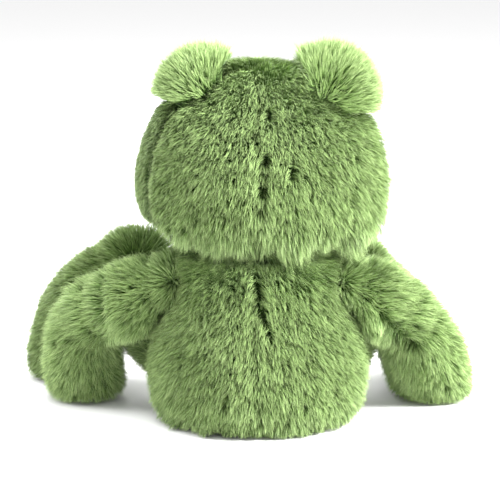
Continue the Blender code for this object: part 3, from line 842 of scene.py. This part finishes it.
def put_pile(name, strands, rng, body=None, short=False):
    """The strands as pieces, none of them too large, which ride on the body if one is given."""
    pile = bpy.context.scene.frog_pile
    if short:
        material = kept_material("short_pile", pile_look, settings=pile, shade=pile.face_shade)
    else:
        material = kept_material("long_pile", pile_look, settings=pile, shade=1.0)
    above_floor(strands[0], rng)
    parts = math.ceil(len(strands[0]) / MOST_STRANDS_IN_A_PIECE)
    pieces = []
    for part in range(parts):
        own = (values[part::parts] for values in strands)
        piece_name = name if parts == 1 else f"{name}_{part + 1}"
        piece = put_object(piece_name, pile_mesh(piece_name, *own, pile.width, rng), material)
        if body:
            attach(piece, body)
        pieces.append(piece)
    return pieces


def panel_distances(places, panels):
    """How far each place is from each sewn panel's solid."""
    return {panel: away_from_mesh(places, frame["nodes"][panel].data) for panel in panels}


def put_panel_piles(cloth, away, strands, body, rng, shown=True):
    """Each strand belongs to the pile of the panel that is nearest to its root."""
    nearest = np.argmin([cloth.at_points(values) for values in away.values()], axis=0)
    for number, panel in enumerate(away):
        own = [values[(nearest == number) & shown] for values in strands]
        put_pile(panel.replace("_panel", "_pile"), own, rng, body, short=panel == "face_panel")


def inside(points, others):
    """True for each point that lies well inside one of these cloths."""
    found = np.zeros(len(points), bool)
    for other in others:
        mesh = bpy.data.objects[other].data
        tree = search_tree(mesh)
        places = vertex_values(mesh, "co")
        low, high = places.min(axis=0), places.max(axis=0)
        near = np.flatnonzero(((points > low) & (points < high)).all(axis=1) & ~found)
        for number in near:
            place, normal, _, distance = tree.find_nearest(points[number])
            if distance > WELL_INSIDE and (Vector(points[number]) - place).dot(normal) < 0:
                found[number] = True
    return found


def buried(points, others):
    """True for each strand whose upper half lies inside one of these cloths."""
    found = inside(points[:, 1], others)
    upper = np.flatnonzero(found)
    found[upper] = inside(points[upper, 2], others)
    return found


# Pile of each part


class FROG_OT_body_pile(bpy.types.Operator):
    """Grow the long pile of the back, belly, seat and neck"""

    bl_idname = "frog.body_pile"
    bl_label = "Body Pile"

    def execute(self, context):
        rng = np.random.default_rng(seed=11)
        cloth = Cloth("body_cloth")
        lie = Lie(cloth, flow_from(cloth.places, BODY_WHORL))
        foot = 1 - rising(cloth.heights, start=0.004, end=0.016)
        lie.change(foot * patches(cloth.places, scale=190.0), length=0.5)
        top = rising(cloth.normals[:, 2], start=0.3, end=0.8)
        ridge = rising(cloth.heights, start=0.078, end=0.098) * (1 - top)
        lie.change(top, lean=0.35)
        lie.change(ridge, lean=-0.45)
        lie.change(ridge + top / 2, length=0.5)
        # Painted light: the top and the ridge under the head are made paler
        lie.change(np.maximum(top, ridge), tone=0.20)
        seam = cloth.back_seam(low=0.004, high=0.104)
        # The back seam parts the pile, with painted shade in its parting and its pits
        lie.part(seam, reach=0.004, strength=0.18, shorter=0.10)
        lie.pits(seam, spacing=0.008, shorter=0.6, rng=rng)
        lie.gaps = [[cloth.on_back(*place) for place in line] for line in GAPS["body"]]
        lie.ticks(40, rng)
        limbs = [f"{side}_{limb}_cloth" for side in SIDES for limb in LIMBS]
        # Painted shade in the creases at the limbs
        lie.pinch(limbs, reach=0.009, shorter=0.40)
        strands = comb(cloth, lie, rng)
        away = panel_distances(cloth.places, BODY_PANELS)
        put_panel_piles(cloth, away, strands, "torso", rng)

        cloth = Cloth("neck_cloth")
        lie = Lie(cloth, flow_from(cloth.places, BODY_WHORL))
        lie.change(1.0, length=-0.5)
        put_pile("neck_pile", comb(cloth, lie, rng), rng, "neck")
        return {"FINISHED"}


class FROG_OT_head_pile(bpy.types.Operator):
    """Grow the long pile of the head's back and the short pile of its face"""

    bl_idname = "frog.head_pile"
    bl_label = "Head Pile"

    def execute(self, context):
        pile = context.scene.frog_pile
        rng = np.random.default_rng(seed=12)
        cloth = Cloth("head_cloth")
        away = panel_distances(cloth.places, HEAD_PANELS)
        backs = np.minimum(away["head_back_left_panel"], away["head_back_right_panel"])
        past_rim = backs - away["face_panel"]
        face = rising(past_rim, start=-0.0015, end=0.0015)
        lie = Lie(cloth, flow_from(cloth.places, HEAD_WHORL))
        lie.lengths += (pile.face_length - pile.length) * face
        lie.change(face, lean=0.35)
        edge = 1 - rising(cloth.heights, start=0.118, end=0.130)
        lie.change(edge * (1 - face), length=0.30 + 0.65 * patches(cloth.places, scale=110.0))
        # Painted shade on the head's lower edge
        lie.change(edge, tone=-0.10)
        # Painted shade where the face meets the back panels, where the pile is also pressed short
        lie.change(nearness(past_rim, reach=0.0031), length=-0.55, tone=-0.42)
        seam = cloth.back_seam(low=0.118, high=0.206)
        # The back seam parts the pile, with painted shade in its parting and its pits
        lie.part(seam, reach=0.004, strength=0.15, shorter=0.08)
        lie.pits(seam, spacing=0.009, shorter=0.6, rng=rng)
        lie.gaps = [[cloth.on_back(*place) for place in line] for line in GAPS["head"]]
        mouth = mouth_line(pitch=0.004)
        # The pile parts round the mouth and nostrils, with painted shade in the partings
        lie.part(mouth, reach=0.0040, strength=0.8, shorter=0.2)
        lie.clip(mouth, reach=0.0026, shorter=0.55)
        for side in SIDES:
            centre = node_middle(f"{side}_nostril_stitch")
            stitch = [centre - np.array(UP) * 0.002, centre + np.array(UP) * 0.002]
            lie.part(stitch, reach=0.0045, strength=0.8, shorter=0.2)
            lie.clip(stitch, reach=0.0034, shorter=0.6)
        lie.ticks(40, rng)
        crown = rising(cloth.normals[:, 2], start=0.45, end=0.9)
        crown = crown * rising(cloth.heights, start=0.16, end=0.18)
        # Painted light on the crown between the domes
        lie.change(crown, length=0.35, tone=0.25)
        domes = [f"{side}_dome_cloth" for side in SIDES]
        # Painted shade in the creases at the domes
        lie.pinch(domes, reach=0.005, shorter=0.5)
        strands = comb(cloth, lie, rng)
        put_panel_piles(cloth, away, strands, "head", rng, shown=~buried(strands[0], domes))
        return {"FINISHED"}


def eye_of(side):
    """The front of a safety eye's solid, the way it faces, its radius and how deep its stem goes."""
    places = node_places(f"{side}_eye")
    front = places[places[:, 1].argmin()]
    away = distances(places, front)
    stem_end = places[away > 0.97 * away.max()].mean(axis=0)
    facing = unit(front - stem_end)
    depths = (front - places) @ facing
    across = np.linalg.norm(places - front + depths[:, None] * facing, axis=1)
    return Vector(front), Vector(facing), across.max(), depths.max()


class FROG_OT_dome_pile(bpy.types.Operator):
    """Grow the pile of the two eye domes, short round the eyes"""

    bl_idname = "frog.dome_pile"
    bl_label = "Eye Dome Pile"

    def execute(self, context):
        for number, (side, sign) in enumerate(SIDES.items()):
            rng = np.random.default_rng(seed=21 + number)
            cloth = Cloth(f"{side}_dome_cloth")
            low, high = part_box(f"{side}_eye_dome")
            whorl = (low + high) / 2 + Vector((-0.009 * sign, 0.026, -0.009))
            lie = Lie(cloth, flow_from(cloth.places, whorl))
            front, facing, radius, _ = eye_of(side)
            eye = np.array(front - facing * 0.006)
            near = 1 - rising(distances(cloth.places, eye), start=radius, end=radius + 0.008)
            lie.fan(eye, reach=0.016, strength=2.5)
            inward = cloth.normals @ (-sign, 0.2, -0.4)
            inward = rising(inward, start=0.0, end=0.9) * (1 - near)
            lie.change(inward, length=1.1, lean=-0.35)
            lie.change(near, length=-0.72, lean=0.3)
            # Painted light: the dome's pile is made paler all over
            lie.change(1.0, tone=0.16)
            strands = comb(cloth, lie, rng)
            hidden = buried(strands[0], ["head_cloth"])
            hidden |= distances(strands[0][:, 0], eye) < radius
            put_pile(f"{side}_dome_pile", [values[~hidden] for values in strands], rng, "head")
        return {"FINISHED"}


def limb_path(side, limb):
    """The middle line of an arm or a leg, from the body to the floor, and its bodies."""
    root_joint, bend_joint, upper, lower = LIMBS[limb]
    low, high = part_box(f"{side}_{lower}")
    sign = SIDES[side]
    outer = high.x if sign > 0 else low.x
    end = Vector((outer - sign * LIMB_RADIUS, low.y + LIMB_RADIUS, 0.0))
    path = [JOINT_PLACE[f"{side}_{root_joint}"], JOINT_PLACE[f"{side}_{bend_joint}"], end]
    return path, (f"{side}_{upper}", f"{side}_{lower}")


def bend_with(piece):
    """Bakes the piece's placing into its mesh."""
    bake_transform(piece)


def lay_arm_pile(lie, side, root, bend):
    """Longer at the shoulder and the elbow, parted in the elbow's fold with painted shade, paler all over
    with painted light, and darker below the elbow with painted shade.
    """
    out = Vector((SIDES[side], 0.0, 0.0))
    elbow = nearness(distances(lie.places, bend + out * 0.010), reach=0.022)
    shoulder = nearness(distances(lie.places, root + UP * 0.020), reach=0.020)
    below = nearness(distances(lie.places, bend - UP * 0.016), reach=0.018)
    lie.change(elbow + shoulder, length=0.45)
    lie.change(shoulder, lean=-0.25)
    # Painted light: the arm's pile is made paler all over
    lie.change(1.0, tone=0.18)
    # Painted shade below the elbow
    lie.change(below, tone=-0.28)
    fold = lie.settle([bend + Vector(step) for step in FOLDS[side]])
    # Painted shade in the elbow's fold and its gap
    lie.part(fold, reach=0.006, strength=1.0, shorter=0.7)
    lie.gaps = [fold]
    lie.fan(root + out * 0.004 + BACK * 0.014 + UP * 0.005, reach=0.022, strength=1.5)
    lie.fan(bend - out * 0.004 + BACK * 0.011 - UP * 0.014, reach=0.016, strength=2.0)


def lay_leg_pile(lie, cloth, side, bend):
    """Fanned out from the knee, longer on its inner side, and darker than the arms with painted shade."""
    lie.fan(bend + BACK * 0.020 - UP * 0.004, reach=0.030, strength=1.6)
    inner = rising(-SIDES[side] * cloth.normals[:, 0], start=0.2, end=0.9)
    inner = inner * rising(cloth.heights, start=0.055, end=0.080)
    lie.change(inner, length=0.8)
    # Painted shade: the leg's pile is darker all over
    lie.change(1.0, tone=-0.10)


class FROG_OT_limb_pile(bpy.types.Operator):
    """Grow the long pile of the arms and legs"""

    bl_idname = "frog.limb_pile"
    bl_label = "Limb Pile"

    def execute(self, context):
        for number, (side, limb) in enumerate((side, limb) for side in SIDES for limb in LIMBS):
            rng = np.random.default_rng(seed=31 + number)
            path, bodies = limb_path(side, limb)
            root, bend, _ = path
            cloth = Cloth(f"{side}_{limb}_cloth")
            lie = Lie(cloth, flow_along(cloth.places, path))
            if limb == "arm":
                lay_arm_pile(lie, side, root, bend)
            else:
                lay_leg_pile(lie, cloth, side, bend)
            lie.ticks(15, rng)
            # Painted shade in the crease at the body
            lie.pinch(["body_cloth"], reach=0.009, shorter=0.40)
            sole = 1 - rising(cloth.heights, start=0.001, end=0.008)
            lie.change(sole, length=-0.6)
            pieces = put_pile(f"{side}_{limb}_pile", comb(cloth, lie, rng), rng)
            for piece in pieces + [bpy.data.objects[f"{side}_{limb}_cloth"]]:
                bend_with(piece)
        return {"FINISHED"}


# Eyes


def spun_eye(radius, depth):
    """A polished dome with a rounded edge, a flat back and a ribbed stem, its front at the origin."""
    bulge = radius * 0.64
    back = bulge + radius * 0.09
    edge = radius * 0.985
    stem = radius * 0.23
    groove = stem * 0.86
    profile = [(0.0, 0.0)]
    for degrees in range(9, 90, 9):
        angle = math.radians(degrees)
        profile.append((0.98 * radius * math.sin(angle), -bulge * (1 - math.cos(angle))))
    profile += [(edge, -bulge * 0.97), (radius, -bulge), (edge, -back * 0.99), (radius * 0.93, -back)]
    profile += [(stem * 1.2, -back), (stem, -back - EYE_CHAMFER)]
    for number in range(int((depth - back) / EYE_RIB) - 1):
        start = back + EYE_RIB * (number + 0.5)
        profile += [(stem, -start), (groove, -start - EYE_RIB * 0.3), (groove, -start - EYE_RIB * 0.5)]
    profile += [(stem * 0.9, -depth + EYE_CHAMFER), (stem * 0.7, -depth), (0.0, -depth)]
    bm = bmesh.new()
    points = [bm.verts.new((across, 0.0, height)) for across, height in profile]
    line = [bm.edges.new(pair) for pair in zip(points, points[1:])]
    bmesh.ops.spin(bm, geom=points + line, axis=UP, angle=math.tau, steps=EYE_STEPS, use_merge=True)
    bmesh.ops.remove_doubles(bm, verts=bm.verts, dist=1e-6)
    face_outwards(bm)
    return bm


class FROG_OT_eyes(bpy.types.Operator):
    """Turn the safety eyes and finish their washers"""

    bl_idname = "frog.eyes"
    bl_label = "Safety Eyes"

    def execute(self, context):
        trim = context.scene.frog_trim
        polished = {"colour": trim.eye_colour, "roughness": 0.08, "coat": 0.1}
        plain = {"colour": trim.washer_colour, "roughness": 0.45, "coat": 0.0}
        black = kept_material("eye_plastic", plastic_look, **polished)
        white = kept_material("washer_plastic", plastic_look, **plain)
        for side in SIDES:
            front, facing, radius, depth = eye_of(side)
            name = f"{side}_safety_eye"
            bm = spun_eye(radius, depth)
            turn = UP.rotation_difference(facing).to_matrix().to_4x4()
            bm.transform(Matrix.Translation(front) @ turn)
            eye = put_object(name, new_mesh(name, bm), black)
            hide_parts(f"{side}_eye")
            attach(eye, "head")
            washer = frame["nodes"][f"{side}_eye_washer"]
            washer.data.materials.clear()
            washer.data.materials.append(white)
        return {"FINISHED"}


# Embroidery


def mouth_line(pitch):
    """Evenly spaced points along the mouth's solid, from one end to the other."""
    places = node_places("mouth_stitching")
    stops = np.linspace(places[:, 0].min(), places[:, 0].max(), MOUTH_STOPS)
    middles = []
    for first, second in zip(stops, stops[2:]):
        own = (places[:, 0] >= first) & (places[:, 0] <= second)
        if own.any():
            middles.append((places[own].min(axis=0) + places[own].max(axis=0)) / 2)
    middles = np.array(middles)
    run = np.concatenate([[0.0], np.cumsum(np.linalg.norm(np.diff(middles, axis=0), axis=1))])
    steps = np.arange(0.0, run[-1], pitch)
    line = np.stack([np.interp(steps, run, middles[:, part]) for part in range(3)], axis=1)
    kernel = np.ones(MOUTH_SMOOTHING) / MOUTH_SMOOTHING
    before, after = (np.repeat(end, MOUTH_SMOOTHING // 2, axis=0) for end in (line[:1], line[-1:]))
    padded = np.concatenate([before, line, after])
    return np.stack([np.convolve(padded[:, part], kernel, "valid") for part in range(3)], axis=1)


def add_stitch(bm, middle, half, out):
    """One thread across a middle point, arched over the pile and drawn in at its ends."""
    width = bpy.context.scene.frog_trim.stitch_pitch * STITCH_WIDTH_SHARE
    first, second = middle - half, middle + half
    along = (second - first).normalized()
    side = along.cross(out).normalized()
    rings = []
    for share, thick in STITCH_SHAPE:
        rise = 4 * share * (1 - share) - STITCH_SUNK_SHARE
        centre = first.lerp(second, share) + out * STITCH_ARCH * rise
        ring = []
        for number in range(STITCH_FACETS):
            angle = math.tau * number / STITCH_FACETS
            way = side * math.cos(angle) + out * math.sin(angle)
            ring.append(bm.verts.new(centre + way * width * thick / 2))
        rings.append(ring)
    for ring, other in zip(rings, rings[1:]):
        for number in range(STITCH_FACETS):
            after = (number + 1) % STITCH_FACETS
            bm.faces.new((ring[number], ring[after], other[after], other[number]))
    bm.faces.new(list(reversed(rings[0])))
    bm.faces.new(rings[-1])


def put_embroidery(name, node, bm):
    bmesh.ops.recalc_face_normals(bm, faces=bm.faces)
    colour = bpy.context.scene.frog_trim.thread_colour
    floss = kept_material("thread", thread_look, colour=colour)
    piece = put_object(name, new_mesh(name, bm), floss)
    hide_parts(node)
    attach(piece, "head")


def stitch_mouth(tree, rng):
    """Satin stitches across the mouth's line, shorter at its corners."""
    trim = bpy.context.scene.frog_trim
    line = [Vector(point) for point in mouth_line(trim.stitch_pitch)]
    last = len(line) - 1
    bm = bmesh.new()
    for number, middle in enumerate(line):
        out = tree.find_nearest(middle)[1]
        run = (line[min(number + 1, last)] - line[max(number - 1, 0)]).normalized()
        across = (out.cross(run) + run * STITCH_SLANT).normalized()
        fullness = min(1.0, 0.45 + 0.55 * min(number, last - number) / MOUTH_TAPER)
        half = across * trim.stitch_length / 2 * fullness * rng.uniform(0.94, 1.06)
        add_stitch(bm, middle, half, out)
    put_embroidery("mouth_embroidery", "mouth_stitching", bm)


def stitch_nostril(side, tree, rng):
    """Upright satin stitches that fill an oval."""
    trim = bpy.context.scene.frog_trim
    node = f"{side}_nostril_stitch"
    centre = Vector(node_middle(node))
    out = tree.find_nearest(centre)[1]
    level = out.cross(UP).normalized()
    upright = level.cross(out).normalized()
    if upright.z < 0:
        upright.negate()
    bm = bmesh.new()
    for number in range(NOSTRIL_STITCHES):
        share = (number - NOSTRIL_STITCHES // 2) / NOSTRIL_ROUNDNESS
        middle = centre + level * share * trim.nostril_width / 2
        half = upright * trim.nostril_height / 2 * math.sqrt(1 - share * share) * rng.uniform(0.95, 1.05)
        add_stitch(bm, middle, half, out)
    put_embroidery(f"{side}_nostril_embroidery", node, bm)


class FROG_OT_embroidery(bpy.types.Operator):
    """Stitch the mouth and the nostrils in satin stitch"""

    bl_idname = "frog.embroidery"
    bl_label = "Embroidery"

    def execute(self, context):
        tree = search_tree(bpy.data.objects["head_cloth"].data)
        rng = np.random.default_rng(seed=41)
        stitch_mouth(tree, rng)
        for side in SIDES:
            stitch_nostril(side, tree, rng)
        return {"FINISHED"}


# Stage


def stand(name, data, place, way):
    """A lamp or the camera at a place, turned this way."""
    obj = bpy.data.objects.new(name, data)
    bpy.context.scene.collection.objects.link(obj)
    obj.location = place
    obj.rotation_euler = way.to_track_quat("-Z", "Y").to_euler()
    return obj


class FROG_OT_stage(bpy.types.Operator):
    """Set up the floor, the lamps and the camera"""

    bl_idname = "frog.stage"
    bl_label = "Stage"

    def execute(self, context):
        stage = context.scene.frog_stage
        bm = bmesh.new()
        bmesh.ops.create_grid(bm, x_segments=1, y_segments=1, size=6.0)
        material = kept_material("pale_floor", floor_look, paleness=stage.floor)
        put_object("floor", new_mesh("floor", bm, smooth=False), material)

        world = bpy.data.worlds.new("surround")
        context.scene.world = world
        world.use_nodes = True
        tree = world.node_tree
        white = {"Color": (1.0, 1.0, 1.0, 1.0), "Strength": stage.surround}
        feed(tree, tree.nodes["Background"], white)
        context.scene.view_settings.view_transform = "Standard"

        for name, (place, size) in LAMPS.items():
            lamp = bpy.data.lights.new(name, "AREA")
            lamp.size = size
            lamp.energy = getattr(stage, f"{name}_power")
            stand(name, lamp, place, AIM - place)

        lens = bpy.data.cameras.new("camera")
        lens.sensor_width = SENSOR_WIDTH
        lens.lens = SENSOR_WIDTH * stage.camera_distance / stage.frame_width
        away = BACK * math.cos(stage.camera_rise) + UP * math.sin(stage.camera_rise)
        context.scene.camera = stand("camera", lens, AIM + away * stage.camera_distance, -away)
        return {"FINISHED"}


class FROG_PT_panel(bpy.types.Panel):
    """The frog's pieces, in the order they are made, and their sizes and colours"""

    bl_idname = "FROG_PT_panel"
    bl_label = "Plush Frog"
    bl_space_type = "VIEW_3D"
    bl_region_type = "UI"
    bl_category = "Plush Frog"

    def draw(self, context):
        column = self.layout.column()
        for operator in OPERATORS:
            column.operator(operator.bl_idname)
        for name in GROUPS:
            settings = getattr(context.scene, name)
            column.label(text=name.replace("_", " ").title())
            for field in settings.__annotations__:
                column.prop(settings, field)


OPERATORS = (
    FROG_OT_stage,
    FROG_OT_cloths,
    FROG_OT_body_pile,
    FROG_OT_head_pile,
    FROG_OT_dome_pile,
    FROG_OT_limb_pile,
    FROG_OT_eyes,
    FROG_OT_embroidery,
)
GROUPS = {
    "frog_cloth": ClothSettings,
    "frog_pile": PileSettings,
    "frog_trim": TrimSettings,
    "frog_stage": StageSettings,
}
CLASSES = (*GROUPS.values(), *OPERATORS, FROG_PT_panel)


def register():
    for part in CLASSES:
        bpy.utils.register_class(part)
    for name, group in GROUPS.items():
        setattr(bpy.types.Scene, name, bpy.props.PointerProperty(type=group))


def unregister():
    for name in GROUPS:
        delattr(bpy.types.Scene, name)
    for part in reversed(CLASSES):
        bpy.utils.unregister_class(part)


def main():
    register()
    bpy.ops.frog.stage()
    bpy.ops.frog.cloths()
    bpy.ops.frog.body_pile()
    bpy.ops.frog.head_pile()
    bpy.ops.frog.dome_pile()
    bpy.ops.frog.limb_pile()
    bpy.ops.frog.eyes()
    bpy.ops.frog.embroidery()


if __name__ == "__main__":
    main()
